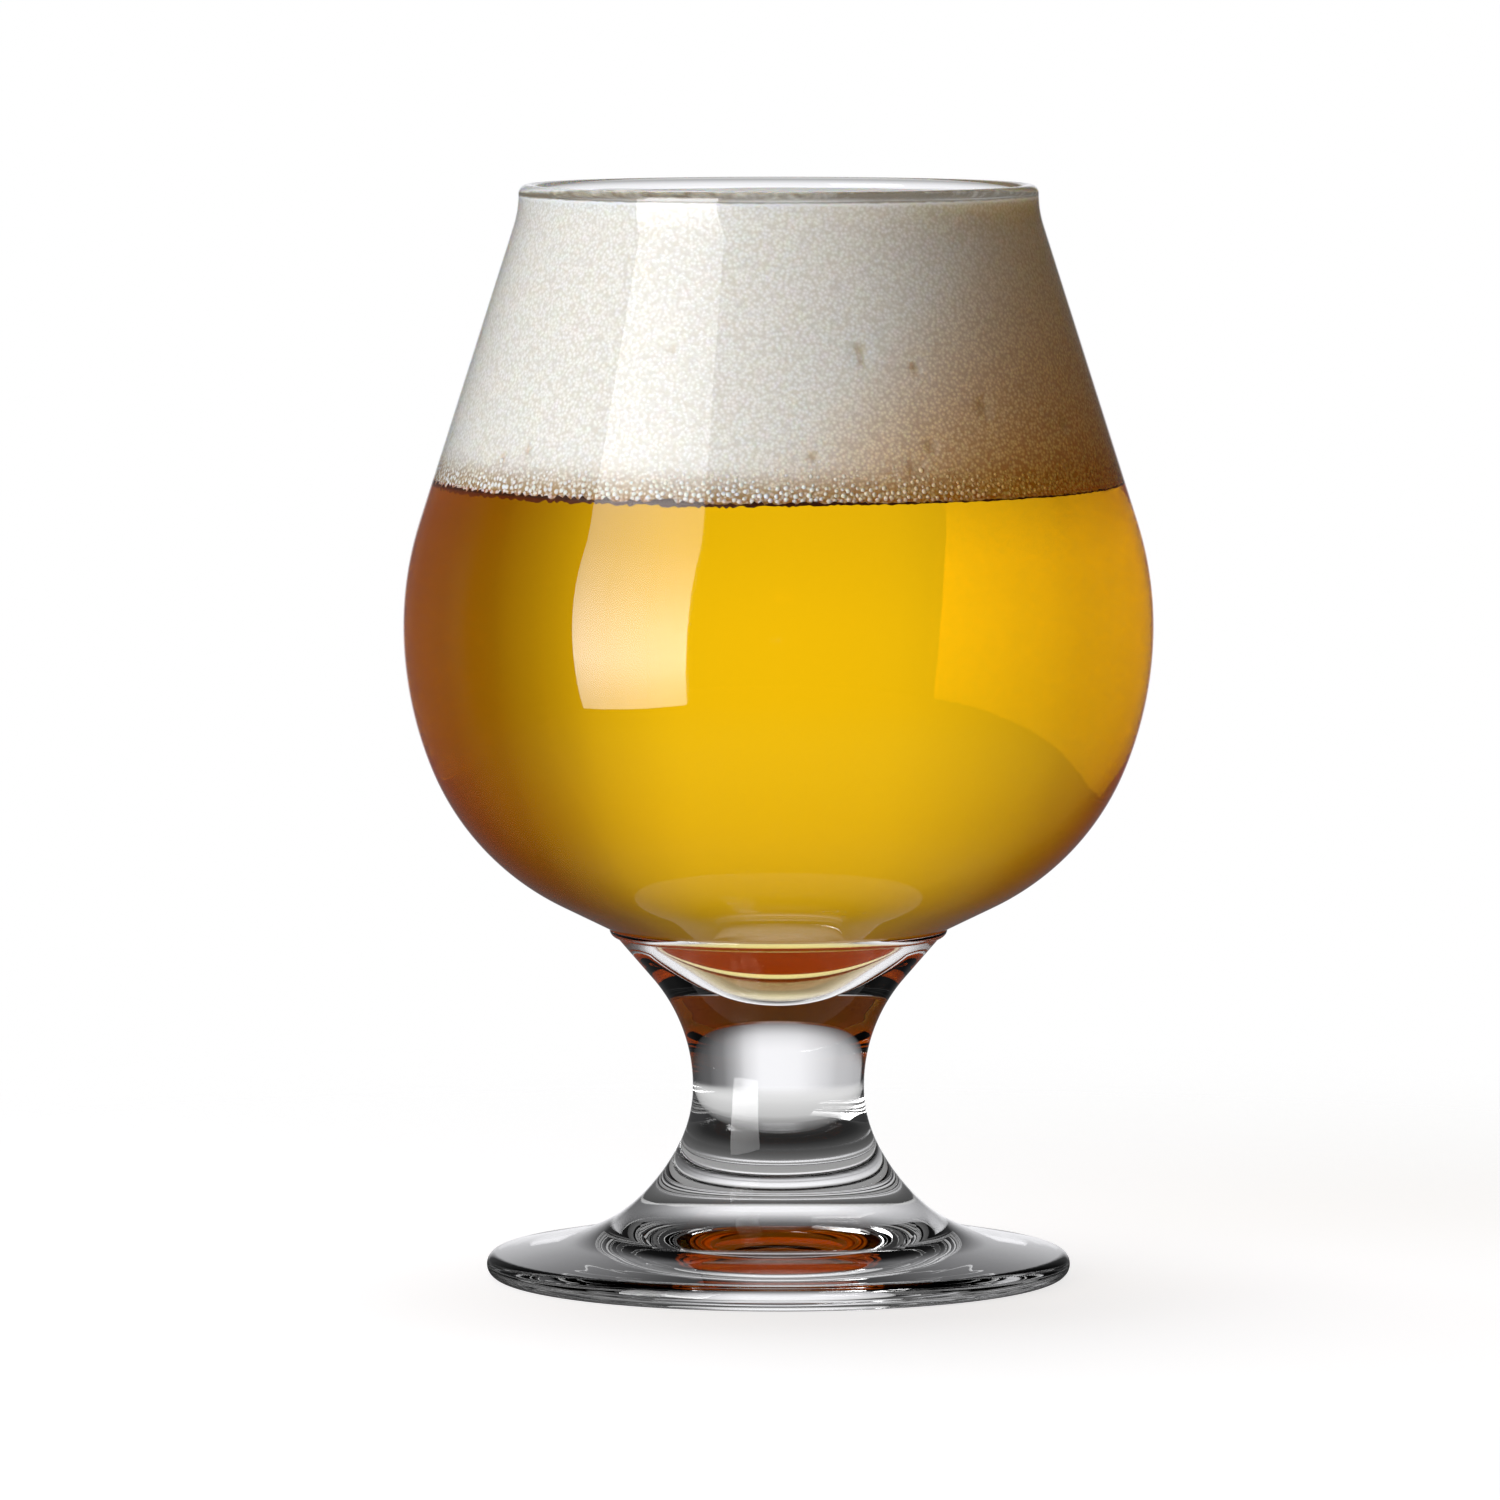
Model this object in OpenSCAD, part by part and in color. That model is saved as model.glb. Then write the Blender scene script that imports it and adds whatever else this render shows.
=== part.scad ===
// Belgian beer glass: a blown tulip bowl fused to a pressed, waisted stem on a
// round foot, filled with beer under a deep head of foam.
// Millimetres. +Z is the axis of revolution, and z = 0 is the table.
// Every piece is a revolved outline made of tangent arcs and straight tapers.

/* [Bowl] */
// Greatest outside diameter of the bowl
belly_d = 100; // [92:0.5:108]
// Height of the widest ring above the ring where bowl and stem meet
belly_rise = 40.4; // [37:0.1:44]
// Height of the lip above the widest ring
lip_rise = 58.8; // [50:0.1:68]
// Radius of the outside curve just above the widest ring
shoulder_r = 46; // [36:0.5:56]
// Angle of the straight upper wall from upright
taper_a = 17.7; // [12:0.1:22]
// Radius of the outside curve that turns the wall upright at the lip
lip_turn_r = 14; // [8:0.5:20]
// Angle below the widest ring at which the outside leaves its round belly
hip_turn = 22.2; // [18:0.1:27]
// Angle of the bowl's underside from level
base_a = 26.1; // [22:0.1:30]
// Radius of the rounded point under the bowl, which sits in the stem
tip_r = 6; // [3:0.5:10]

/* [Bowl wall] */
// Thickness of the wall from the lip down to the belly
wall_t = 2.4; // [1.8:0.1:3.2]
// Thickness of the bowl's floor on the axis
floor_t = 3.8; // [2.5:0.1:6]
// Angle below the widest ring at which the inside leaves its round belly
hollow_turn = 14; // [10:0.1:18]
// Angle of the inside floor from level
hollow_a = 16; // [12:0.1:20]
// Diameter of the well in the middle of the inside floor
well_d = 24; // [20:0.5:28]
// Angle of the well's side from level
well_a = 44; // [38:0.1:48]
// Radius of the well's rounded bottom
well_r = 8; // [5:0.5:11]
// Radius of the curve from the well's side to the floor round it
brow_r = 6; // [3:0.5:9]

/* [Stem] */
// Diameter of the ring where bowl and stem meet
seam_d = 45.2; // [41:0.1:49]
// Height of the stem from the foot's seam to the bowl's seam
stem_h = 36; // [32:0.1:41]
// Diameter of the stem at its waist
waist_d = 22.9; // [19:0.1:27]
// Height of the waist above the foot's seam
waist_rise = 14.8; // [13:0.1:17]
// Angle through which the stem turns out above its waist
neck_turn = 40.9; // [37:0.1:46]
// Radius of the curve just below the waist
ankle_r = 17.4; // [13:0.1:21]
// Angle through which that curve turns out
ankle_turn = 27.6; // [22:0.1:34]
// Radius of the wider curve that runs on down to the foot
flare_r = 28; // [22:0.5:36]
// Width of the fine collar where the stem is joined to the bowl
collar_w = 1.6; // [1:0.1:2.4]
// Height by which the collar stands out from the stem
collar_h = 0.3; // [0.1:0.05:0.45]

/* [Foot] */
// Greatest diameter of the foot
foot_d = 78; // [72:0.5:86]
// Height of the foot's seam above the table
foot_h = 10.7; // [9.5:0.1:12]
// Slope of the foot's upper face near its edge
foot_a = 10.8; // [7:0.1:14]
// Radius of the rounded edge
edge_r = 1.65; // [1.2:0.05:2.2]
// Width of the flat bearing ring under the edge
bearing_w = 4; // [2:0.1:7]
// Height of the shallow dome under the foot
dome_h = 1.5; // [0.8:0.1:2.5]
// Diameter of the round kick in the middle of the dome
kick_d = 40; // [34:0.5:46]
// Height of the kick above the dome
kick_h = 3; // [1.5:0.1:4]

/* [Drink] */
// Height of the beer's surface above the widest ring
beer_rise = 18.5; // [5:0.1:35]
// Distance from the lip down to the top of the foam
foam_drop = 0.8; // [0.6:0.1:15]
// Rise of the foam's top from the glass to its middle
foam_rise = 0.6; // [0.2:0.1:1.5]

/* [Hidden] */

// Clearance between the drink and the glass
drink_gap = 0.05;
// Largest turn between two points of an arc, in degrees
arc_step = 3;
$fn = 96;

glass_colour = [0.87, 0.91, 0.93, 0.4];
beer_colour = [0.96, 0.69, 0.04];
foam_colour = [0.93, 0.91, 0.87];

// Heights of the rings that the pieces share
seam_z = foot_h + stem_h;
belly_z = seam_z + belly_rise;
lip_z = belly_z + lip_rise;
waist_z = foot_h + waist_rise;
beer_z = belly_z + beer_rise;
foam_z = lip_z - foam_drop;

// Radii of the same rings
belly_r = belly_d / 2;
seam_r = seam_d / 2;
waist_r = waist_d / 2;
foot_r = foot_d / 2;

// Outside of the bowl: its underside is a cone through the seam ring
cone_z = seam_z - seam_r * tan(base_a);
tip_z = cone_z + tip_r * (1 / cos(base_a) - 1);
hip_r = hip_radius(belly_r, hip_turn, base_a, cone_z);

// Inside of the bowl: a low cone round a steep well with a rounded bottom
floor_z = tip_z + floor_t;
well_z = floor_z - well_r * (1 / cos(well_a) - 1);
brow = [
    well_d / 2 + brow_r * sin(well_a),
    well_z + well_d / 2 * tan(well_a) - brow_r * cos(well_a)
];
hollow_z = brow[1] + brow_r / cos(hollow_a) - brow[0] * tan(hollow_a);
hollow_r = belly_r - wall_t;
hollow_hip_r = hip_radius(hollow_r, hollow_turn, hollow_a, hollow_z);

// Lip: half round, on a wall that the last curve has turned upright
lip_round_r = wall_t / 2;
lip_turn_z = lip_z - lip_round_r;
lip_r = belly_r - shoulder_r * (1 - cos(taper_a)) - lip_turn_r * (1 - cos(taper_a))
    - tan(taper_a) * (lip_turn_z - belly_z - (shoulder_r + lip_turn_r) * sin(taper_a));

// Stem above the waist: one arc, then a straight flare to the seam ring
neck_r = ((seam_z - waist_z) * sin(neck_turn) - (seam_r - waist_r) * cos(neck_turn))
    / (1 - cos(neck_turn));

// Collar: a low round bead on the top of the flare
collar_r = (collar_w * collar_w / 4 + collar_h * collar_h) / (2 * collar_h);
collar_turn = asin(collar_w / 2 / collar_r);
collar_centre = [
    seam_r - collar_w / 2 * sin(neck_turn) - (collar_r - collar_h) * cos(neck_turn),
    seam_z - collar_w / 2 * cos(neck_turn) + (collar_r - collar_h) * sin(neck_turn)
];

// Stem below the waist: two arcs down to the foot's seam
flare_centre = [
    waist_r + ankle_r + (flare_r - ankle_r) * cos(ankle_turn),
    waist_z + (flare_r - ankle_r) * sin(ankle_turn)
];
flare_turn = asin((flare_centre[1] - foot_h) / flare_r);
foot_neck_r = flare_centre[0] - flare_r * cos(flare_turn);

// Foot: a hollow sweep carries the stem's flare on to the sloping upper face
sweep_a = 90 - flare_turn;
edge_centre = [foot_r - edge_r, edge_r];
sweep_r = ((foot_neck_r - edge_centre[0]) * sin(foot_a) + (foot_h - edge_centre[1]) * cos(foot_a)
    - edge_r) / (1 - cos(sweep_a - foot_a));
sweep_centre = [foot_neck_r + sweep_r * sin(sweep_a), foot_h + sweep_r * cos(sweep_a)];
bearing_r = edge_centre[0] - bearing_w;
dome_r = (bearing_r * bearing_r + dome_h * dome_h) / (2 * dome_h);

// Kick: a steeper cap that rises from the middle of the dome
kick_rim_a = asin(kick_d / 2 / dome_r);
kick_rise = kick_h + dome_r * (1 - cos(kick_rim_a));
kick_r = (kick_d * kick_d / 4 + kick_rise * kick_rise) / (2 * kick_rise);

// Points of an arc from one angle to another, both ends included
function arc(centre, r, from, to) =
    let (steps = ceil(abs(to - from) / arc_step))
    [for (i = [0:steps])
        let (a = from + (to - from) * i / steps)
        centre + r * [cos(a), sin(a)]];

// Radius of the arc that leaves a round belly at an angle and runs into a cone
function hip_radius(round_r, turn, slope, apex_z) =
    let (reach = sin(slope + turn))
    ((belly_z - apex_z) * cos(slope) - round_r * reach) / (1 - reach);

// A bowl surface from its cone up to the lip turn. inset is its distance inside
// the outer face above the belly, and low_r the arc between cone and round belly.
function bowl_face(inset, round_r, turn, slope, low_r) = concat(
    arc(
        [(round_r - low_r) * cos(turn), belly_z - (round_r - low_r) * sin(turn)],
        low_r, slope - 90, -turn
    ),
    arc([0, belly_z], round_r, -turn, 0),
    arc([belly_r - shoulder_r, belly_z], shoulder_r - inset, 0, taper_a),
    arc([lip_r + lip_turn_r, lip_turn_z], lip_turn_r + inset, 180 + taper_a, 180)
);

// The outer face of the bowl, down to the point that sits in the stem
function outer_face() = concat(
    arc([0, tip_z + tip_r], tip_r, -90, base_a - 90),
    bowl_face(0, belly_r, hip_turn, base_a, hip_r)
);

// The inner face of the bowl, or the skin of what fills it, a gap inside it
function inner_face(gap) = concat(
    arc([0, floor_z + well_r], well_r - gap, -90, well_a - 90),
    arc(brow, brow_r + gap, 90 + well_a, 90 + hollow_a),
    bowl_face(wall_t + gap, hollow_r - gap, hollow_turn, hollow_a, hollow_hip_r - gap)
);

// Radius of a rising path of points at a height
function radius_at(points, z) = lookup(z, [for (p = points) [p[1], p[0]]]);

// The outline's points in the opposite order
function reversed(points) = [for (i = [len(points) - 1:-1:0]) points[i]];

module bowl() {
    color(glass_colour)
        rotate_extrude()
            polygon(concat(
                outer_face(),
                arc([lip_r - lip_round_r, lip_turn_z], lip_round_r, 0, 180),
                reversed(inner_face(0))
            ));
}

module stem() {
    seat = concat(
        [[seam_r, seam_z]],
        reversed(arc([0, tip_z + tip_r], tip_r, -90, base_a - 90))
    );
    color(glass_colour)
        rotate_extrude()
            polygon(concat(
                [[0, foot_h]],
                arc(flare_centre, flare_r, 180 + flare_turn, 180 + ankle_turn),
                arc([waist_r + ankle_r, waist_z], ankle_r, 180 + ankle_turn, 180),
                arc([waist_r + neck_r, waist_z], neck_r, 180, 180 - neck_turn),
                arc(collar_centre, collar_r, -neck_turn - collar_turn, collar_turn - neck_turn),
                seat
            ));
}

module foot() {
    color(glass_colour)
        rotate_extrude()
            polygon(concat(
                arc([0, dome_h + kick_h - kick_r], kick_r, 90, 90 - asin(kick_d / 2 / kick_r)),
                arc([0, dome_h - dome_r], dome_r, 90 - kick_rim_a, 90 - asin(bearing_r / dome_r)),
                arc(edge_centre, edge_r, -90, 90 - foot_a),
                arc(sweep_centre, sweep_r, 270 - foot_a, 270 - sweep_a),
                [[0, foot_h]]
            ));
}

module beer() {
    skin = inner_face(drink_gap);
    color(beer_colour)
        rotate_extrude()
            polygon(concat(
                [for (p = skin) if (p[1] < beer_z) p],
                [[radius_at(skin, beer_z), beer_z], [0, beer_z]]
            ));
}

// The foam's top is a very low dome
module foam_head() {
    skin = inner_face(drink_gap);
    edge_z = foam_z - foam_rise;
    top_r = radius_at(skin, edge_z);
    swell_r = (top_r * top_r + foam_rise * foam_rise) / (2 * foam_rise);
    swell_a = asin(top_r / swell_r);
    color(foam_colour)
        rotate_extrude()
            polygon(concat(
                [[0, beer_z], [radius_at(skin, beer_z), beer_z]],
                [for (p = skin) if (p[1] > beer_z && p[1] < edge_z) p],
                [for (i = [0:5]) [0, foam_z - swell_r]
                    + swell_r * [sin(swell_a * (1 - i / 5)), cos(swell_a * (1 - i / 5))]]
            ));
}

bowl();
stem();
foot();
beer();
foam_head();
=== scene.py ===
import math

import bpy
import numpy as np
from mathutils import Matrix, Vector, kdtree


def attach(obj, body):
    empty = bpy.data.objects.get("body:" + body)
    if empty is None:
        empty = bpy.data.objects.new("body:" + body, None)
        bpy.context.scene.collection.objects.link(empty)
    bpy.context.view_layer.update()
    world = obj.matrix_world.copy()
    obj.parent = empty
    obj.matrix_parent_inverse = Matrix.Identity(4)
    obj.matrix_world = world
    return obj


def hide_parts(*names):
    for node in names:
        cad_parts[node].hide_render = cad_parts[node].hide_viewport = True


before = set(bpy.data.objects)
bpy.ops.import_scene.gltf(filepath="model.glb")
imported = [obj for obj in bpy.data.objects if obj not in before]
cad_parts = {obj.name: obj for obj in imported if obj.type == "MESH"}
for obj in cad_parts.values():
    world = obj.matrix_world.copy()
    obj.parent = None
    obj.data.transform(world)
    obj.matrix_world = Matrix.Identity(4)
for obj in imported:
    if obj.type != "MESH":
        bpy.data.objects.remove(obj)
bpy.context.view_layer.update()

MM = 0.001

# The glass's own sizes in millimetres and degrees, as the part's source has them
BELLY_R = 50.0
BELLY_RISE = 40.4
LIP_RISE = 58.8
SHOULDER_R = 46.0
TAPER = 17.7
LIP_TURN_R = 14.0
HIP_TURN = 22.2
BASE_SLOPE = 26.1
TIP_R = 6.0
WALL = 2.4
FLOOR_T = 3.8
HOLLOW_TURN = 14.0
HOLLOW_SLOPE = 16.0
WELL_D = 24.0
WELL_SLOPE = 44.0
WELL_R = 8.0
BROW_R = 6.0
SEAM_R = 22.6
STEM_H = 36.0
WAIST_R = 11.45
WAIST_RISE = 14.8
NECK_TURN = 40.9
ANKLE_R = 17.4
ANKLE_TURN = 27.6
FLARE_R = 28.0
COLLAR_W = 1.6
COLLAR_H = 0.3
FOOT_R = 39.0
FOOT_H = 10.7
FOOT_SLOPE = 10.8
EDGE_R = 1.65
BEARING_W = 4.0
DOME_H = 1.5
KICK_D = 40.0
KICK_H = 3.0
BEER_RISE = 18.5
FOAM_DROP = 0.8
FOAM_RISE = 0.6


def sin(a):
    """Sine of an angle in degrees, as all angles here are."""
    return math.sin(math.radians(a))


def cos(a):
    return math.cos(math.radians(a))


def tan(a):
    return math.tan(math.radians(a))


# Heights and radii that follow from them
SEAM_Z = FOOT_H + STEM_H
BELLY_Z = SEAM_Z + BELLY_RISE
LIP_Z = BELLY_Z + LIP_RISE
WAIST_Z = FOOT_H + WAIST_RISE
BEER_Z = BELLY_Z + BEER_RISE
FOAM_Z = LIP_Z - FOAM_DROP
FOAM_EDGE_Z = FOAM_Z - FOAM_RISE
LIP_ROUND_R = WALL / 2
LIP_TURN_Z = LIP_Z - LIP_ROUND_R
LIP_R = (
    BELLY_R
    - (SHOULDER_R + LIP_TURN_R) * (1 - cos(TAPER))
    - tan(TAPER) * (LIP_TURN_Z - BELLY_Z - (SHOULDER_R + LIP_TURN_R) * sin(TAPER))
)


def arc(centre, radius, start, end, step=1.5):
    """Points of an arc, both ends included, at most step degrees apart."""
    steps = math.ceil(abs(end - start) / step)
    angles = [start + (end - start) * i / steps for i in range(steps + 1)]
    return [(centre[0] + radius * cos(a), centre[1] + radius * sin(a)) for a in angles]


def hip_radius(round_r, turn, slope, apex_z):
    """Radius of the arc that leaves the round belly and runs into the cone below."""
    reach = sin(slope + turn)
    return ((BELLY_Z - apex_z) * cos(slope) - round_r * reach) / (1 - reach)


def evened(points, most):
    """The same path with no step longer than most."""
    out = [points[0]]
    for a, b in zip(points, points[1:]):
        n = max(1, math.ceil(math.dist(a, b) / most))
        out += [(a[0] + (b[0] - a[0]) * i / n, a[1] + (b[1] - a[1]) * i / n) for i in range(1, n + 1)]
    return out


def bowl_face(inset, round_r, turn, slope, low_r):
    """A bowl surface from its cone up to the lip turn."""
    hip = ((round_r - low_r) * cos(turn), BELLY_Z - (round_r - low_r) * sin(turn))
    shoulder = (BELLY_R - SHOULDER_R, BELLY_Z)
    lip_turn = (LIP_R + LIP_TURN_R, LIP_TURN_Z)
    return (
        arc(hip, low_r, slope - 90, -turn)
        + arc((0, BELLY_Z), round_r, -turn, 0)[1:]
        + arc(shoulder, SHOULDER_R - inset, 0, TAPER)[1:]
        + arc(lip_turn, LIP_TURN_R + inset, 180 + TAPER, 180)
    )


CONE_Z = SEAM_Z - SEAM_R * tan(BASE_SLOPE)
TIP_Z = CONE_Z + TIP_R * (1 / cos(BASE_SLOPE) - 1)
HOLLOW_FLOOR_Z = TIP_Z + FLOOR_T
WELL_CONE_Z = HOLLOW_FLOOR_Z - WELL_R * (1 / cos(WELL_SLOPE) - 1)
BROW = (
    WELL_D / 2 + BROW_R * sin(WELL_SLOPE),
    WELL_CONE_Z + WELL_D / 2 * tan(WELL_SLOPE) - BROW_R * cos(WELL_SLOPE),
)
HOLLOW_CONE_Z = BROW[1] + BROW_R / cos(HOLLOW_SLOPE) - BROW[0] * tan(HOLLOW_SLOPE)
HIP_R = hip_radius(BELLY_R, HIP_TURN, BASE_SLOPE, CONE_Z)
HOLLOW_HIP_R = hip_radius(BELLY_R - WALL, HOLLOW_TURN, HOLLOW_SLOPE, HOLLOW_CONE_Z)


def outer_face():
    """The outside of the bowl from its pointed floor up, with the cone that seats in the stem."""
    tip = arc((0, TIP_Z + TIP_R), TIP_R, -90, BASE_SLOPE - 90)
    return tip + bowl_face(0, BELLY_R, HIP_TURN, BASE_SLOPE, HIP_R)


def inner_face(gap):
    """The inner face of the bowl, or the skin of what fills it, a gap inside it."""
    well = arc((0, HOLLOW_FLOOR_Z + WELL_R), WELL_R - gap, -90, WELL_SLOPE - 90)
    brow = arc(BROW, BROW_R + gap, 90 + WELL_SLOPE, 90 + HOLLOW_SLOPE)
    side = bowl_face(WALL + gap, BELLY_R - WALL - gap, HOLLOW_TURN, HOLLOW_SLOPE, HOLLOW_HIP_R - gap)
    return well + brow + side


def cut(points, z):
    """A rising path in two, below and above a height, with the point at that height in both."""
    for i, (a, b) in enumerate(zip(points, points[1:])):
        if a[1] <= z < b[1]:
            t = (z - a[1]) / (b[1] - a[1])
            middle = (a[0] + (b[0] - a[0]) * t, z)
            return points[: i + 1] + [middle], [middle] + points[i + 1 :]
    raise ValueError("the path does not cross that height")


def radius_at(points, z):
    """Radius of a rising path at a height."""
    return cut(points, z)[0][-1][0]


# Two points this near in millimetres are one, and a corner this sharp in degrees isn't smoothed
TINY = 1e-6
SHARP_FROM = 35


def joined(sections):
    """One path from sections that follow each other, with the material number of each step."""
    path, step_materials = [sections[0][0][0]], []
    for points, material in sections:
        fresh = [p for i, p in enumerate(points) if i or math.dist(p, path[-1]) > TINY]
        path += fresh[1:] if math.dist(fresh[0], path[-1]) <= TINY else fresh
        step_materials += [material] * (len(path) - 1 - len(step_materials))
    return path, step_materials


def revolve(name, sections, segments, materials, nudge=None):
    """A closed body of revolution. Each section is a path and the number of its material. nudge may
    move the points, given as arrays of radius, height and angle."""
    path, step_materials = joined(sections)
    turns = np.arange(segments) * 2 * math.pi / segments
    radius, height, angle, start = [], [], [], []
    for r, z in path:
        start.append(len(radius))
        n = 1 if r < TINY else segments
        radius += [r] * n
        height += [z] * n
        angle += list(turns[:n])
    radius, height, angle = (np.array(a) for a in (radius, height, angle))
    hollow = None
    if nudge:
        radius, height, hollow = nudge(radius, height, angle)
    points = np.stack([radius * np.cos(angle), radius * np.sin(angle), height], 1) * MM
    faces = []
    for i, (low, high) in enumerate(zip(start, start[1:])):
        for j in range(segments):
            k = (j + 1) % segments
            if path[i][0] < TINY:
                faces.append((low, high + k, high + j))
            elif path[i + 1][0] < TINY:
                faces.append((low + j, low + k, high))
            else:
                faces.append((low + j, low + k, high + k, high + j))
    mesh = bpy.data.meshes.new(name)
    mesh.from_pydata(points.tolist(), [], faces)
    mesh.polygons.foreach_set("material_index", [m for m in step_materials for _ in range(segments)])
    mesh.shade_smooth()
    mesh.set_sharp_from_angle(angle=math.radians(SHARP_FROM))
    if hollow is not None:
        mesh.attributes.new("hollow", "FLOAT", "POINT").data.foreach_set("value", hollow)
    for m in materials:
        mesh.materials.append(m)
    piece = bpy.data.objects.new(name, mesh)
    bpy.context.scene.collection.objects.link(piece)
    return piece


# Materials
def colour(code):
    """A linear colour from an sRGB hex value."""
    parts = [int(code[i : i + 2], 16) / 255 for i in (1, 3, 5)]
    return [*(p / 12.92 if p <= 0.04045 else ((p + 0.055) / 1.055) ** 2.4 for p in parts), 1.0]


def in_use(sockets, key=None):
    """The socket with that place or name among those in use, or the first of them."""
    if isinstance(key, int):
        return sockets[key]
    return next(s for s in sockets if s.enabled and key in (None, s.name))


def add(tree, kind, inputs=None, stops=(), **settings):
    """Adds a node with its settings. inputs gives each socket a value, an output or a node, whose
    first output is meant. stops gives a ramp its places with hex colours or brightnesses."""
    made = tree.nodes.new(kind if "Node" in kind else "ShaderNode" + kind)
    for key, value in settings.items():
        setattr(made, key, value)
    for key, value in (inputs or {}).items():
        if isinstance(value, bpy.types.Node):
            value = in_use(value.outputs)
        if isinstance(value, bpy.types.NodeSocket):
            tree.links.new(value, in_use(made.inputs, key))
        else:
            in_use(made.inputs, key).default_value = value
    for _ in stops[2:]:
        made.color_ramp.elements.new(0.5)
    for i, (place, shade) in enumerate(stops):
        made.color_ramp.elements[i].position = place
        made.color_ramp.elements[i].color = colour(shade) if isinstance(shade, str) else [shade] * 3 + [1]
    return made


def new_material(name):
    """A material with no nodes yet, and its tree."""
    material = bpy.data.materials.new(name)
    material.use_nodes = True
    material.node_tree.nodes.clear()
    return material, material.node_tree


def cells_of(size):
    """A pattern's scale from the real size of one of its cells in millimetres."""
    return 1 / (size * MM)


# Length of the mould's waves in millimetres, and how strongly glass, wetted glass and beer bend light
MOULD_WAVE = 18.2
GLASS_IOR = 1.5
WETTED_IOR = 1.12
BEER_IOR = 1.34


def glass_material(name, ior, shade):
    """Fire-polished soda-lime glass: clear and mirror smooth, with the faint waves that the blowing
    mould leaves. Lamp light goes straight through it, weakened by shade."""
    material, tree = new_material(name)
    place = add(tree, "TexCoord").outputs["Object"]
    waves = add(tree, "TexNoise", {"Vector": place, "Scale": cells_of(MOULD_WAVE), "Detail": 1.0})
    bump = add(tree, "Bump", {"Height": waves, "Strength": 0.35, "Distance": 0.08 * MM})
    glass = add(
        tree, "BsdfPrincipled",
        {"Base Color": colour("#FEFEFE"), "Roughness": 0.0, "IOR": ior, "Transmission Weight": 1.0,
         "Normal": bump},
    )
    shadow = add(tree, "BsdfTransparent", {"Color": colour(shade)})
    path = add(tree, "LightPath").outputs
    from_lamp = add(tree, "Math", {0: path["Is Shadow Ray"], 1: path["Is Diffuse Ray"]}, operation="MAXIMUM")
    mix = add(tree, "MixShader", {0: from_lamp, 1: glass, 2: shadow})
    add(tree, "OutputMaterial", {"Surface": mix})
    return material


clear_glass = glass_material("fire_polished_glass", GLASS_IOR, "#EDEFF1")

# Where beer and foam wet the glass, its inner face bends and mirrors light only a little
wet_glass = glass_material("glass_wetted_by_beer", WETTED_IOR, "#FDFDFD")


def seam_material():
    """A fused seam: the glass runs on through it, so nothing shows there."""
    material, tree = new_material("fused_glass_seam")
    add(tree, "OutputMaterial", {"Surface": add(tree, "BsdfTransparent")})
    return material


# The haze's colour, and the heights between which it grows from what the well has to its full share
HAZE = colour("#E56900")
WELL_HAZE_FROM = 51.0
WELL_HAZE_TO = 66.0


def beer_material():
    """Golden beer: a clear liquid with a little haze, whose colour deepens with the way through it."""
    material, tree = new_material("golden_beer")
    lit_side = add(tree, "BsdfDiffuse", {"Color": HAZE})
    far_side = add(tree, "BsdfTranslucent", {"Color": HAZE})
    haze = add(tree, "MixShader", {0: 0.5, 1: lit_side, 2: far_side})
    clear = add(tree, "BsdfTransparent")
    # The haze shows most at the sides, and there is less of it in the shallow well at the bottom
    facing = add(tree, "LayerWeight", {"Blend": 0.5}).outputs["Facing"]
    at_side = add(tree, "MapRange", {"Value": facing, "From Max": 0.5, "To Min": 0.02, "To Max": 0.37})
    height = add(tree, "SeparateXYZ", {0: add(tree, "TexCoord").outputs["Object"]}).outputs["Z"]
    above_well = add(
        tree, "MapRange",
        {"Value": height, "From Min": WELL_HAZE_FROM * MM, "From Max": WELL_HAZE_TO * MM, "To Min": 0.3},
    )
    share = add(tree, "Math", {0: at_side, 1: above_well}, operation="MULTIPLY")
    mix = add(tree, "MixShader", {0: share, 1: clear, 2: haze})
    absorb = add(tree, "VolumeAbsorption", {"Color": colour("#FFF400"), "Density": 61.0})
    add(tree, "OutputMaterial", {"Surface": mix, "Volume": absorb})
    return material


# Sizes in the foam's look: the cells of its fine bubbles, which are drawn a little coarser than real
# ones so that they show, the unevenness of its edge, and heights above the beer: of its lowest bubbles, of
# the amber on the side that faces the key light, and of the amber that is painted warm shade on the side away
# from it
FINE_CELL = 0.476
EDGE_CELL = 1.43
STANDING_H = 5.0
LIT_SIDE_WET_H = 6.0
SHADED_SIDE_AMBER_H = 36.0


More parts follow.
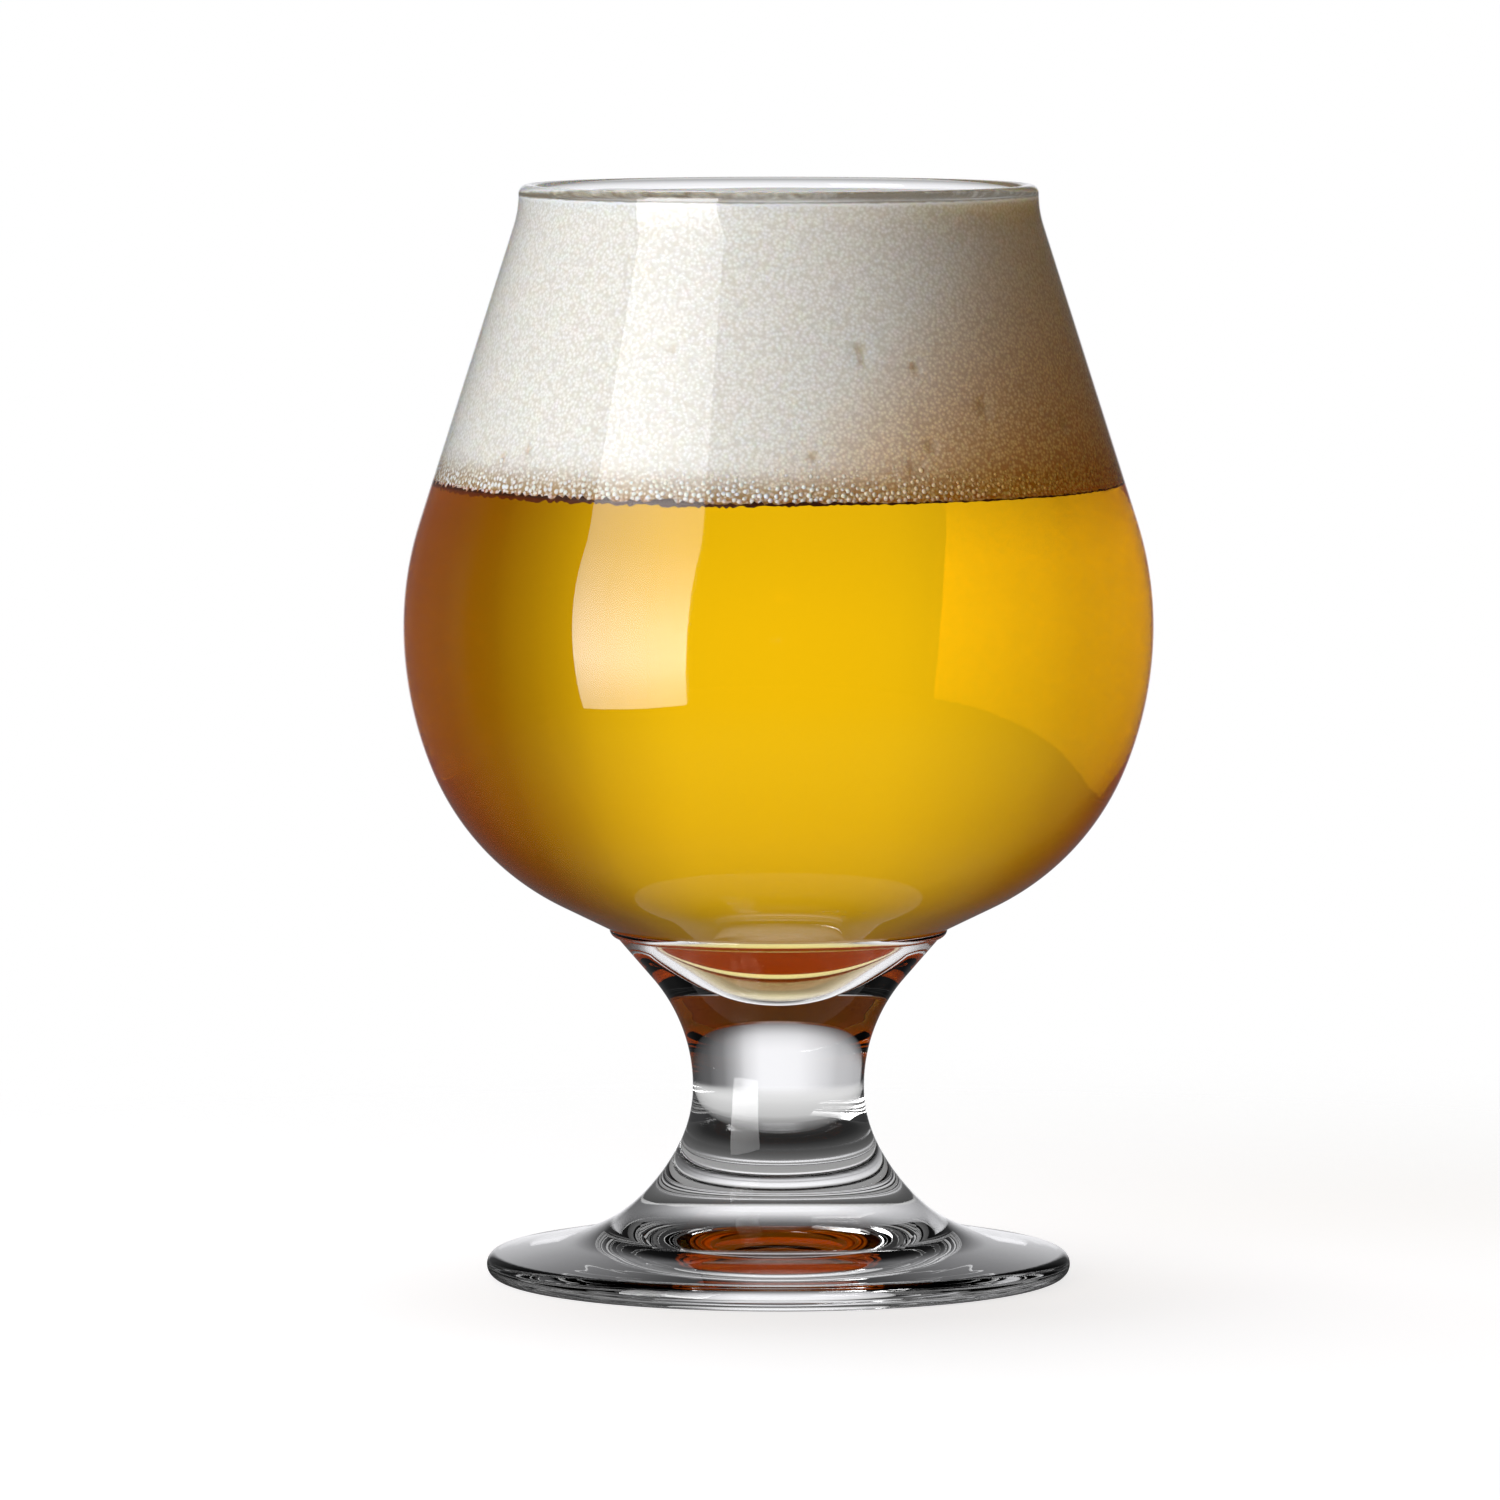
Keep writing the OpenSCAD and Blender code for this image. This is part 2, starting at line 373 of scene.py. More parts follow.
def foam_tone(tree, cells, where):
    """The foam's colour: pale where it is dry and amber near the beer that soaks it, darker between its
    bubbles, and with painted warm shade that takes the amber higher on the side away from the key light.
    """
    # On the side away from the key light the amber reaches higher and is deeper: painted warm shade, standing
    # in for the amber light that falls there
    away_from_key = add(
        tree, "MapRange", {"Value": where["X"], "From Min": -8 * MM, "From Max": 34 * MM},
        interpolation_type="SMOOTHSTEP",
    )
    amber_up_to = add(
        tree, "MapRange",
        {"Value": away_from_key, "To Min": (BEER_Z + LIT_SIDE_WET_H) * MM, "To Max": (BEER_Z + SHADED_SIDE_AMBER_H) * MM},
    )
    lowest_amber = add(tree, "MapRange", {"Value": away_from_key, "To Min": 0.15})
    amber_share = add(
        tree, "MapRange",
        {"Value": where["Z"], "From Min": BEER_Z * MM, "From Max": amber_up_to, "To Min": lowest_amber,
         "To Max": 0.0},
    )
    # The lowest bubbles stand in beer all round
    standing = add(
        tree, "MapRange",
        {"Value": where["Z"], "From Min": BEER_Z * MM, "From Max": (BEER_Z + STANDING_H) * MM, "To Min": 1.0,
         "To Max": 0.0},
        interpolation_type="SMOOTHSTEP",
    )
    # Each tone darkens towards the edges of the cells, the hollows of the bump: painted shade there, with
    # beer in the gaps as well in the standing and amber tones
    dry_tone = add(tree, "ValToRGB", {0: cells}, stops=[(0.15, "#F4F2EE"), (0.75, "#DCD7CD")])
    amber_tone = add(tree, "ValToRGB", {0: cells}, stops=[(0.1, "#FFD670"), (0.65, "#CC8814")])
    standing_tone = add(tree, "ValToRGB", {0: cells}, stops=[(0.1, "#F2E8D6"), (0.6, "#A4844E")])
    tone = add(tree, "Mix", {"Factor": standing, "A": dry_tone, "B": standing_tone}, data_type="RGBA")
    tone = add(tree, "Mix", {"Factor": amber_share, "A": tone, "B": amber_tone}, data_type="RGBA")
    # A burst bubble leaves a hollow, painted darker inside as shade
    hollow = add(tree, "Attribute", attribute_name="hollow").outputs["Fac"]
    return add(tree, "Mix", {"Factor": hollow, "A": tone, "B": colour("#BFA97F")}, data_type="RGBA")


def edge_tone(tree, tone, place, where):
    """The same colour with its top edge: a painted light, pale where the crown meets the glass, and a painted
    shade just inside it.
    """
    level_place = add(tree, "VectorMath", {0: place, 1: (1, 1, 0)}, operation="MULTIPLY")
    from_axis = add(tree, "VectorMath", {0: level_place}, operation="LENGTH")
    uneven = add(tree, "TexNoise", {"Vector": place, "Scale": cells_of(EDGE_CELL), "Detail": 1.0})
    height = add(tree, "Math", {0: uneven, 1: 0.3 * MM, 2: where["Z"]}, operation="MULTIPLY_ADD")
    # Painted light: the crown's edge along the glass is painted almost white, as if catching the light from
    # above
    painted_crown_light = add(
        tree, "MapRange",
        {"Value": height, "From Min": (FOAM_EDGE_Z - 0.6) * MM, "From Max": (FOAM_EDGE_Z - 0.2) * MM},
    )
    # Painted shade: the top just inside the edge, near the glass, is painted darker
    painted_edge_shade = add(
        tree, "MapRange",
        {"Value": height, "From Min": (FOAM_EDGE_Z - 0.15) * MM, "From Max": (FOAM_EDGE_Z + 0.05) * MM},
    )
    near_wall = add(tree, "MapRange", {"Value": from_axis, "From Min": 28.5 * MM, "From Max": 31 * MM})
    painted_shade = add(tree, "Math", {0: painted_edge_shade, 1: near_wall}, operation="MULTIPLY")
    tone = add(tree, "Mix", {"Factor": painted_crown_light, "A": tone, "B": colour("#FBF9F5")}, data_type="RGBA")
    return add(tree, "Mix", {"Factor": painted_shade, "A": tone, "B": colour("#979082")}, data_type="RGBA")


def foam_material():
    """Fresh beer foam: matt and soft, with light inside it, and grainy from its fine bubbles."""
    material, tree = new_material("fresh_beer_foam")
    place = add(tree, "TexCoord").outputs["Object"]
    where = add(tree, "SeparateXYZ", {0: place}).outputs
    cells = add(
        tree, "TexVoronoi", {"Vector": place, "Scale": cells_of(FINE_CELL), "Smoothness": 0.3},
        feature="SMOOTH_F1",
    )
    tone = edge_tone(tree, foam_tone(tree, cells, where), place, where)
    round_top = add(tree, "Math", {0: 1.0, 1: cells}, operation="SUBTRACT")
    bump = add(tree, "Bump", {"Height": round_top, "Strength": 0.46, "Distance": 0.12 * MM})
    foam = add(
        tree, "BsdfPrincipled",
        {"Base Color": tone, "Roughness": 0.5, "IOR": BEER_IOR, "Subsurface Weight": 0.8,
         "Subsurface Radius": (1.0, 0.7, 0.4), "Subsurface Scale": 8 * MM, "Normal": bump},
    )
    add(tree, "OutputMaterial", {"Surface": foam})
    return material


# Spacing in millimetres of the bubbles that show from below
UNDERSIDE_CELL = 0.667


def underside_material():
    """The underside of the head, amber from the beer between its bubbles and painted dark as shade, for the
    little light that reaches it through the beer.
    """
    material, tree = new_material("foam_underside")
    place = add(tree, "TexCoord").outputs["Object"]
    cells = add(tree, "TexVoronoi", {"Vector": place, "Scale": cells_of(UNDERSIDE_CELL)})
    tone = add(tree, "ValToRGB", {0: cells}, stops=[(0.0, "#C8A258"), (1.0, "#6C4C16")])
    foam = add(tree, "BsdfPrincipled", {"Base Color": tone, "Roughness": 0.6, "IOR": BEER_IOR})
    add(tree, "OutputMaterial", {"Surface": foam})
    return material


# Width in millimetres of the paler and darker patches among the large bubbles
PATCH = 3.85


def bubble_material():
    """The largest bubbles, which stand on the beer: paler and glossier than the foam behind them."""
    material, tree = new_material("large_foam_bubbles")
    place = add(tree, "TexCoord").outputs["Object"]
    patches = add(tree, "TexNoise", {"Vector": place, "Scale": cells_of(PATCH), "Detail": 2.0})
    dry_tone = add(tree, "ValToRGB", {0: patches}, stops=[(0.35, "#F0E8D6"), (0.65, "#FBF8F2")])
    # On the side away from the key light they are painted amber, a painted warm shade, up to where they thin
    # out
    where = add(tree, "SeparateXYZ", {0: place}).outputs
    away_from_key = add(tree, "MapRange", {"Value": where["X"], "From Max": 30 * MM, "To Max": 0.95})
    amber_share = add(
        tree, "MapRange",
        {"Value": where["Z"], "From Min": (BEER_Z + 8) * MM, "From Max": (BEER_Z + 12) * MM, "To Min": away_from_key,
         "To Max": 0.0},
    )
    tone = add(tree, "Mix", {"Factor": amber_share, "A": dry_tone, "B": colour("#E0A038")}, data_type="RGBA")
    bubble = add(
        tree, "BsdfPrincipled",
        {"Base Color": tone, "Roughness": 0.35, "IOR": BEER_IOR, "Subsurface Weight": 0.5,
         "Subsurface Radius": (1.0, 0.7, 0.35), "Subsurface Scale": 1 * MM},
    )
    add(tree, "OutputMaterial", {"Surface": bubble})
    return material


def beer_line_material():
    """Beer drawn up between the lowest bubbles, painted nearly black: a painted shade for the dark band that
    the meniscus shows.
    """
    material, tree = new_material("beer_meniscus")
    beer = add(tree, "BsdfPrincipled", {"Base Color": colour("#33180A"), "Roughness": 0.25, "IOR": BEER_IOR})
    add(tree, "OutputMaterial", {"Surface": beer})
    return material


fused_seam = seam_material()
golden_beer = beer_material()
beer_foam = foam_material()
foam_underside = underside_material()
large_bubbles = bubble_material()
beer_line = beer_line_material()

# Bowl: its faces below the foam's edge are wetted, and its cone below the seam is fused to the stem
GLASS_SEGMENTS = 288
GLASS_STEP = 2.0
WET_MARGIN = 0.1
outside_path = evened(outer_face(), GLASS_STEP)
seat, outside = cut(outside_path, SEAM_Z)
inside_path = evened(inner_face(0), GLASS_STEP)
wetted, dry = cut(inside_path, FOAM_EDGE_Z + WET_MARGIN)
lip = arc((LIP_R - LIP_ROUND_R, LIP_TURN_Z), LIP_ROUND_R, 0, 180, step=7.5)
bowl = revolve(
    "bowl_glass", [(seat, 1), (outside, 0), (lip, 0), (dry[::-1], 0), (wetted[::-1], 2)],
    GLASS_SEGMENTS, [clear_glass, fused_seam, wet_glass],
)

# Stem: three arcs round the waist, with the collar ring at the top and the bowl's cone sunk in it
NECK_R = ((SEAM_Z - WAIST_Z) * sin(NECK_TURN) - (SEAM_R - WAIST_R) * cos(NECK_TURN)) / (1 - cos(NECK_TURN))
COLLAR_R = (COLLAR_W**2 / 4 + COLLAR_H**2) / (2 * COLLAR_H)
COLLAR_TURN = math.degrees(math.asin(COLLAR_W / 2 / COLLAR_R))
COLLAR_CENTRE = (
    SEAM_R - COLLAR_W / 2 * sin(NECK_TURN) - (COLLAR_R - COLLAR_H) * cos(NECK_TURN),
    SEAM_Z - COLLAR_W / 2 * cos(NECK_TURN) + (COLLAR_R - COLLAR_H) * sin(NECK_TURN),
)
FLARE_CENTRE = (
    WAIST_R + ANKLE_R + (FLARE_R - ANKLE_R) * cos(ANKLE_TURN),
    WAIST_Z + (FLARE_R - ANKLE_R) * sin(ANKLE_TURN),
)
FLARE_TURN = math.degrees(math.asin((FLARE_CENTRE[1] - FOOT_H) / FLARE_R))
FOOT_NECK_R = FLARE_CENTRE[0] - FLARE_R * cos(FLARE_TURN)
STEM_STEP = 1.0
SEAM_STEP = 3.0
stem_side = evened(
    arc(FLARE_CENTRE, FLARE_R, 180 + FLARE_TURN, 180 + ANKLE_TURN)
    + arc((WAIST_R + ANKLE_R, WAIST_Z), ANKLE_R, 180 + ANKLE_TURN, 180)[1:]
    + arc((WAIST_R + NECK_R, WAIST_Z), NECK_R, 180, 180 - NECK_TURN)[1:]
    + arc(COLLAR_CENTRE, COLLAR_R, -NECK_TURN - COLLAR_TURN, COLLAR_TURN - NECK_TURN, step=5),
    STEM_STEP,
)
foot_seam = evened([(0, FOOT_H), (FOOT_NECK_R, FOOT_H)], SEAM_STEP)
stem = revolve(
    "stem_glass", [(foot_seam, 1), (stem_side, 0), (seat[::-1], 1)], GLASS_SEGMENTS, [clear_glass, fused_seam]
)

# Foot: a sweep down to a rounded edge, and below it the bearing ring, the dome and the kick
SWEEP_TURN = 90 - FLARE_TURN
EDGE_CENTRE = (FOOT_R - EDGE_R, EDGE_R)
SWEEP_R = (
    (FOOT_NECK_R - EDGE_CENTRE[0]) * sin(FOOT_SLOPE) + (FOOT_H - EDGE_CENTRE[1]) * cos(FOOT_SLOPE) - EDGE_R
) / (1 - cos(SWEEP_TURN - FOOT_SLOPE))
SWEEP_CENTRE = (FOOT_NECK_R + SWEEP_R * sin(SWEEP_TURN), FOOT_H + SWEEP_R * cos(SWEEP_TURN))
BEARING_R = EDGE_CENTRE[0] - BEARING_W
DOME_R = (BEARING_R**2 + DOME_H**2) / (2 * DOME_H)
DOME_TURN = math.degrees(math.asin(BEARING_R / DOME_R))
RIM_TURN = math.degrees(math.asin(KICK_D / 2 / DOME_R))
KICK_RISE = KICK_H + DOME_R * (1 - cos(RIM_TURN))
KICK_R = (KICK_D**2 / 4 + KICK_RISE**2) / (2 * KICK_RISE)
KICK_TURN = math.degrees(math.asin(KICK_D / 2 / KICK_R))
BEARING_STEP = 0.5
underside = (
    arc((0, DOME_H + KICK_H - KICK_R), KICK_R, 90, 90 - KICK_TURN, step=1.0)
    + arc((0, DOME_H - DOME_R), DOME_R, 90 - RIM_TURN, 90 - DOME_TURN, step=0.15)[1:]
)
bearing = evened([(BEARING_R, 0), (EDGE_CENTRE[0], 0)], BEARING_STEP)
edge = arc(EDGE_CENTRE, EDGE_R, -90, 90 - FOOT_SLOPE, step=6)
upper = evened(arc(SWEEP_CENTRE, SWEEP_R, 270 - FOOT_SLOPE, 270 - SWEEP_TURN), STEM_STEP)

# The bearing ring is stippled by the mould, so that a wet foot does not cling to the table
STIPPLE_PITCH = 0.8
STIPPLE_DEPTH = 0.22
STIPPLE_COUNT = 288
STIPPLE_MARGIN = 0.2

# A height this near to another counts as level with it
NEARLY = 0.01


def stipple(radius, height, angle):
    """Raises the bearing ring between its stipples, which stay on the table."""
    inner_r = BEARING_R + STIPPLE_MARGIN
    outer_r = EDGE_CENTRE[0] - STIPPLE_MARGIN
    inside = (height < NEARLY) & (radius > inner_r) & (radius < outer_r)
    rows = np.sin((radius - BEARING_R) * math.pi / STIPPLE_PITCH)
    ribs = np.sin(angle * STIPPLE_COUNT / 2)
    lift = STIPPLE_DEPTH * (0.5 - 0.5 * np.abs(rows * ribs))
    return radius, height + np.where(inside, lift, 0), None


foot = revolve(
    "foot_glass", [(underside, 0), (bearing, 0), (edge, 0), (upper, 0), (foot_seam[::-1], 1)],
    2 * STIPPLE_COUNT, [clear_glass, fused_seam], stipple,
)

# Beer: it stands a little way up inside the foam, so that no slit shows between the two
GAP = 0.05
BEER_LAP = 0.5
BEER_STEP = 1.5
BEER_SEGMENTS = 192
FLAT_STEP = 6.0
beer_skin = evened(inner_face(GAP), BEER_STEP)
beer_side = cut(beer_skin, BEER_Z + BEER_LAP)[0]
beer_top = evened([beer_side[-1], (0, BEER_Z + BEER_LAP)], FLAT_STEP)
beer = revolve("beer_body", [(beer_side, 0), (beer_top, 0)], BEER_SEGMENTS, [golden_beer])

# Foam: its skin is a crowd of bubbles pressed against the glass, largest just above the beer
rng = np.random.default_rng(7)
FOAM_GAP = GAP + 0.02
FOAM_STEP = 0.42
FOAM_SEGMENTS = 640
TOP_RINGS = 34
CROWN_R = 0.4
foam_skin = evened(inner_face(FOAM_GAP), FOAM_STEP)
foam_wall = cut(cut(foam_skin, BEER_Z)[1], FOAM_EDGE_Z - CROWN_R)[0]
wall_r = radius_at(foam_skin, FOAM_EDGE_Z - CROWN_R)
top_r = wall_r - CROWN_R
crown = arc((top_r, FOAM_EDGE_Z - CROWN_R), CROWN_R, 0, 90, step=22.5)


def dome_z(r):
    """Height of the foam's low domed top at a radius."""
    return FOAM_EDGE_Z + FOAM_RISE * (1 - (r / top_r) ** 2)


foam_top = [(r, dome_z(r)) for r in np.linspace(top_r, 0, TOP_RINGS)]
foam_base = evened([(0, BEER_Z), (radius_at(foam_skin, BEER_Z), BEER_Z)], FLAT_STEP)

LOWEST_BUBBLE = 1.15
BUBBLE_SHRINK = 0.55
ROW_SHARE = 0.86
TOP_BUBBLE = 0.9
TOP_TRIES = 6500


def bubble_seeds():
    """Centres and sizes of the foam's visible bubbles, in rows up its wall and strewn over its top."""
    seeds = []
    z = BEER_Z - 0.2
    while z < FOAM_EDGE_Z:
        share = (z - BEER_Z) / (FOAM_Z - BEER_Z)
        size = LOWEST_BUBBLE - BUBBLE_SHRINK * min(1, share * 2.2)
        r = radius_at(foam_skin, max(BEER_Z, min(z, FOAM_EDGE_Z - 0.7)))
        count = int(2 * math.pi * r / size)
        turns = (np.arange(count) + rng.uniform(-0.35, 0.35, count) + rng.uniform()) * 2 * math.pi / count
        lift = rng.uniform(-0.3, 0.3, count) * size
        seeds += [(r * math.cos(t), r * math.sin(t), z + u, size) for t, u in zip(turns, lift)]
        z += size * ROW_SHARE
    for x, y in rng.uniform(-wall_r, wall_r, (TOP_TRIES, 2)):
        if math.hypot(x, y) < wall_r:
            seeds.append((x, y, dome_z(math.hypot(x, y)), TOP_BUBBLE))
    return seeds


seeds = bubble_seeds()
nearest_seed = kdtree.KDTree(len(seeds))
for i, s in enumerate(seeds):
    nearest_seed.insert(s[:3], i)
nearest_seed.balance()

# A few larger bubbles have burst against the glass. Each has its angle, height and radius
POCKET_COUNT = 24
POCKET_DEPTH = 0.3
POCKETS = [
    (rng.uniform(0, 2 * math.pi), rng.uniform(BEER_Z + 3, BEER_Z + 20), rng.uniform(1.0, 2.0))
    for _ in range(POCKET_COUNT)
]

# The band of large bubbles above the beer, and radii that tell the foam's side from its flat faces
BEAD_BAND = 6.0
BEAD_R = 0.42
SIDE_FROM_R = 25.0
FLAT_TO_R = 30.0
FLAT_RELIEF = 0.1
SIDE_RELIEF = 0.16


def bubble_relief(radius, height, angle):
    """How deep the foam's skin lies below the crowns of its bubbles."""
    depth = np.zeros(len(radius))
    for i, (r, z, a) in enumerate(zip(radius, height, angle)):
        if z > BEER_Z + NEARLY or r > FLAT_TO_R:
            _, index, distance = nearest_seed.find((r * math.cos(a), r * math.sin(a), z))
            size = seeds[index][3]
            relief = FLAT_RELIEF if r < FLAT_TO_R else SIDE_RELIEF
            depth[i] = relief * size * 0.34 * min(1.0, distance / (0.56 * size)) ** 2
    return depth


def pocket_relief(radius, height, angle):
    """1 in the middle of a burst bubble, falling to 0 at its edge."""
    hollow = np.zeros(len(radius))
    for turn, z, size in POCKETS:
        across = (np.mod(angle - turn + math.pi, 2 * math.pi) - math.pi) * radius
        away = np.hypot(across, height - z) / size
        hollow = np.maximum(hollow, np.where((away < 1) & (radius > SIDE_FROM_R), (1 - away**2) ** 2, 0))
    return hollow


def bubbly(radius, height, angle):
    """Sinks the foam's skin between its bubbles, in burst ones and behind the band of large ones."""
    hollow = pocket_relief(radius, height, angle)
    depth = bubble_relief(radius, height, angle) + POCKET_DEPTH * hollow
    top = (height > FOAM_EDGE_Z - CROWN_R - NEARLY) & (radius < wall_r - 0.15)
    side = ~top & (radius > SIDE_FROM_R)
    low = side & (height < BEER_Z + NEARLY)
    band = np.clip(1 - (height - BEER_Z) / BEAD_BAND, 0, 1)
    depth += np.where(side & ~low, 0.7 * BEAD_R * band, 0)
    swell = 0.06 * np.sin(angle * 3 + 1) + 0.04 * np.sin(angle * 7 + radius * 0.2)
    height = height - np.where(top, depth * 1.1 + 0.1 + swell, 0)
    height = height + np.where(low, depth * 1.3 - 0.1, 0)
    radius = radius - np.where(side, depth, 0)
    return radius, height, hollow * 0.4


foam = revolve(
    "foam_body", [(foam_base, 1), (foam_wall, 0), (crown, 0), (foam_top, 0)], FOAM_SEGMENTS,
    [beer_foam, foam_underside], bubbly,
)

# The line where beer creeps up between the lowest bubbles, painted dark as shade
KNOTS = 620
LINE_LIFT = 0.7
LINE_DROP = 0.5
LINE_DRIFT = 0.35
LINE_HALF = 0.3
LINE_SEGMENTS = 1440
knots = np.linspace(0, 2 * math.pi, KNOTS)
ragged_top = rng.uniform(0, 1, KNOTS) ** 1.5
ragged_low = rng.uniform(0, 1, KNOTS)
wander = np.convolve(rng.uniform(-1, 1, KNOTS + 20), np.ones(21) / 21, "valid")


def ragged(radius, height, angle):
    """Gives the line the bays of the bubbles that press on it from above and hang into the beer."""
    turn = np.mod(angle, 2 * math.pi)
    share = np.clip(0.75 - radius * np.cos(angle) / 50, 0.3, 1)
    drift = LINE_DRIFT * np.interp(turn, knots, wander)
    lifted = BEER_Z + drift + LINE_LIFT * share * np.interp(turn, knots, ragged_top)
    dropped = BEER_Z - 0.08 * share + drift - LINE_DROP * share * np.interp(turn, knots, ragged_low)
    return radius, np.where(height > BEER_Z, lifted, dropped), None


line_r = radius_at(foam_skin, BEER_Z) + 0.01
line = [
    (line_r - LINE_HALF, BEER_Z - LINE_HALF),
    (line_r, BEER_Z - LINE_HALF),
    (line_r, BEER_Z + LINE_HALF),
    (line_r - LINE_HALF, BEER_Z + LINE_HALF),
    (line_r - LINE_HALF, BEER_Z - LINE_HALF),
]
meniscus = revolve("beer_meniscus", [(line, 0)], LINE_SEGMENTS, [beer_line], ragged)

# The large bubbles, scattered over a band just inside the foam's skin
BEAD_SPACING = 0.62
BEAD_GAP = GAP + 0.03
BEAD_STEP = 0.8
BEAD_LIFT = 0.2
BEAD_SEGMENTS = 256
bead_skin = cut(evened(inner_face(BEAD_GAP + BEAD_R), BEAD_STEP), BEER_Z + BEAD_LIFT)[1]
bead_path = cut(bead_skin, BEER_Z + BEAD_BAND)[0]
beads = revolve("foam_beads", [(bead_path, 0)], BEAD_SEGMENTS, [large_bubbles])


def crowd_of_bubbles():
    """Nodes that scatter small spheres over a surface, thinning out with height."""
    tree = bpy.data.node_groups.new("crowd_of_bubbles", "GeometryNodeTree")
    for name, kind in (
        ("Surface", "Geometry"), ("Spacing", "Float"), ("Bubble radius", "Float"), ("Lowest", "Float"),
        ("Highest", "Float"), ("Seed", "Int"), ("Finish", "Material"),
    ):
        tree.interface.new_socket(name, in_out="INPUT", socket_type="NodeSocket" + kind)
    tree.interface.new_socket("Bubbles", in_out="OUTPUT", socket_type="NodeSocketGeometry")
    given = add(tree, "NodeGroupInput").outputs
    height = add(tree, "SeparateXYZ", {0: add(tree, "GeometryNodeInputPosition")}).outputs["Z"]
    crowded = add(
        tree, "MapRange",
        {"Value": height, "From Min": given["Lowest"], "From Max": given["Highest"], "To Min": 1.4,
         "To Max": 0.06},
    )
    points = add(
        tree, "GeometryNodeDistributePointsOnFaces",
        {"Mesh": given["Surface"], "Distance Min": given["Spacing"], "Density Max": 4.0e6,
         "Density Factor": crowded, "Seed": given["Seed"]},
        distribute_method="POISSON",
    )
    ball = add(
        tree, "GeometryNodeMeshUVSphere", {"Segments": 6, "Rings": 4, "Radius": given["Bubble radius"]}
    )
    turn = add(
        tree, "FunctionNodeRandomValue", {"Max": (6.28, 6.28, 6.28), "Seed": given["Seed"]},
        data_type="FLOAT_VECTOR",
    )
    size = add(
        tree, "FunctionNodeRandomValue", {"Min": 0.8, "Max": 1.05, "Seed": given["Seed"]}, data_type="FLOAT"
    )
    placed = add(
        tree, "GeometryNodeInstanceOnPoints",
        {"Points": points, "Instance": ball, "Rotation": turn, "Scale": size},
    )
    real = add(tree, "GeometryNodeRealizeInstances", {0: placed})
    smooth = add(tree, "GeometryNodeSetShadeSmooth", {0: real})
    finished = add(tree, "GeometryNodeSetMaterial", {"Geometry": smooth, "Material": given["Finish"]})
    add(tree, "NodeGroupOutput", {0: finished})
    return tree


def grow(piece, tree, values):
    """Runs a node tree on a piece and keeps its result as the piece's plain mesh."""
    modifier = piece.modifiers.new(tree.name, "NODES")
    modifier.node_group = tree
    names = {item.name: item.identifier for item in tree.interface.items_tree if item.in_out == "INPUT"}
    for name, value in values.items():
        modifier[names[name]] = value
    seen = piece.evaluated_get(bpy.context.evaluated_depsgraph_get())
    piece.data = bpy.data.meshes.new_from_object(seen)
    piece.modifiers.remove(modifier)


grow(
    beads, crowd_of_bubbles(),
    {"Spacing": BEAD_SPACING * MM, "Bubble radius": BEAD_R * MM, "Lowest": BEER_Z * MM,
     "Highest": (BEER_Z + BEAD_BAND) * MM, "Seed": 4, "Finish": large_bubbles},
)

for piece, node, slot in (
    (bowl, "bowl", "clear_glass"),
    (stem, "stem", "clear_glass"),
    (foot, "foot", "clear_glass"),
    (beer, "beer", "golden_beer"),
    (foam, "foam_head", "beer_foam"),
    (meniscus, None, "golden_beer"),
    (beads, None, "beer_foam"),
):
    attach(piece, "root")
    if node:
        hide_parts(node)

# Camera: the photograph's long lens, a little above the lip
CAMERA_AT = (-0.0038, -1.484, 0.1906)
CAMERA_DIP = 4.627
scene = bpy.context.scene
camera_data = bpy.data.cameras.new("camera")
camera_data.sensor_width = 36.0
camera_data.lens = 267.96
camera_data.clip_end = 50.0
camera = bpy.data.objects.new("camera", camera_data)
camera.location = CAMERA_AT
camera.rotation_euler = (math.radians(90 - CAMERA_DIP), 0, 0)
scene.collection.objects.link(camera)
scene.camera = camera
scene.view_settings.view_transform = "Standard"
scene.cycles.max_bounces = 24
scene.cycles.transmission_bounces = 20
scene.cycles.transparent_max_bounces = 24

# Studio: a white card behind the glass in a dark room, a pale table, and a softbox at the left front
WHITE = (1, 1, 1, 1)
ROOM_LEVEL = 0.04
MIRRORED_SHARE = 0.12


def levels(tree, value, low, high, stops):
    """A brightness read off a list of (value, brightness) stops between low and high."""
    share = add(tree, "MapRange", {"Value": value, "From Min": low, "From Max": high})
    return add(tree, "ValToRGB", {0: share}, stops=[((v - low) / (high - low), b) for v, b in stops])


# The card's brightness by the slope of the view across it and up it, with soft edges
CARD_REACH = 4.0
CARD_ACROSS = [
    (-2.6, 0.0), (-2.0, 0.6), (-1.2, 0.54), (-0.6, 0.58), (-0.35, 0.78), (-0.15, 0.98), (0.0, 1.0),
    (0.14, 1.0), (0.27, 0.76), (0.33, 0.55), (0.4, 0.4), (0.54, 0.2), (0.86, 0.09), (1.9, 0.04), (4.0, 0.0),
]
CARD_UP = [
    (-3.0, 0.04), (-1.2, 0.1), (-0.7, 0.35), (-0.4, 0.7), (-0.21, 0.92), (-0.07, 1.0), (0.2, 1.0),
    (0.306, 0.9), (0.384, 0.8), (0.435, 0.7), (0.488, 0.58), (0.577, 0.43), (0.727, 0.26), (1.0, 0.1),
    (2.0, 0.0),
]
MIDDLE_REACH = 1.0
MIDDLE_ACROSS = [(-0.25, 0.0), (-0.1, 1.0), (0.1, 1.0), (0.25, 0.0)]
MIDDLE_UP = [(-0.2, 0.0), (-0.1, 1.0), (0.5, 1.0), (0.7, 0.0)]
LEAST_AHEAD = 0.02


